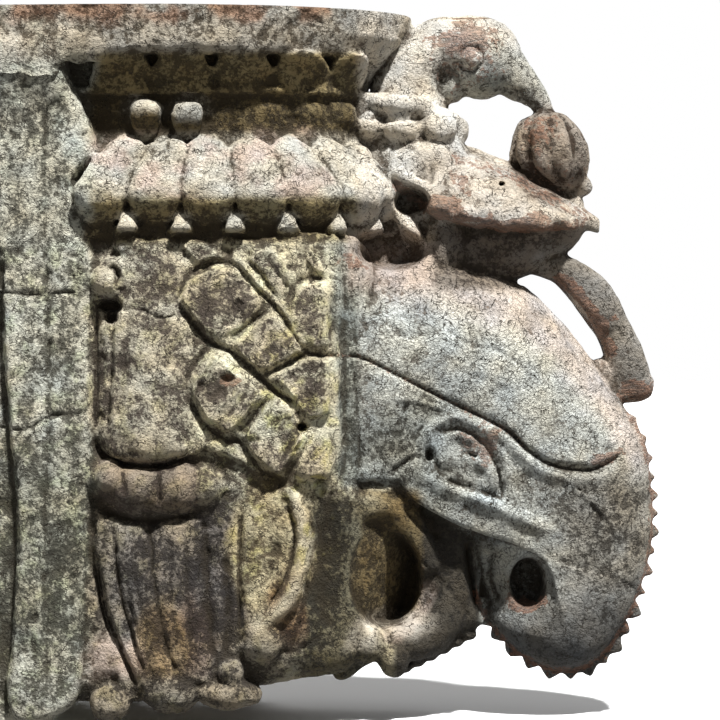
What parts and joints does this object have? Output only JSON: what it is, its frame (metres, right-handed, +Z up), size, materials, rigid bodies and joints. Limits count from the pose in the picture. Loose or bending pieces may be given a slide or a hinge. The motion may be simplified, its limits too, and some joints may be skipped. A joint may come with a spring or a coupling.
{
  "type": "carved wooden corbel",
  "caption": "Carved wooden corbel: a wall stile under a lotus capital, with an elephant head, curled trunk and a bird that holds a bud.",
  "frame": {"origin": "middle of the flat wall face at the back of the stile, on the corbel's mirror plane", "axes": "+X out from the wall, towards the elephant's trunk; +Z up, towards the beam; +Y across, the carved side seen in the picture facing -Y"},
  "size_m": [0.4979, 0.188, 0.4876],
  "materials": {
    "old_painted_wood": "flaking, weathered paint over bare wood, matt"
  },
  "bodies": {
    "root": {"corbel": "old_painted_wood"}
  },
  "joints": []
}
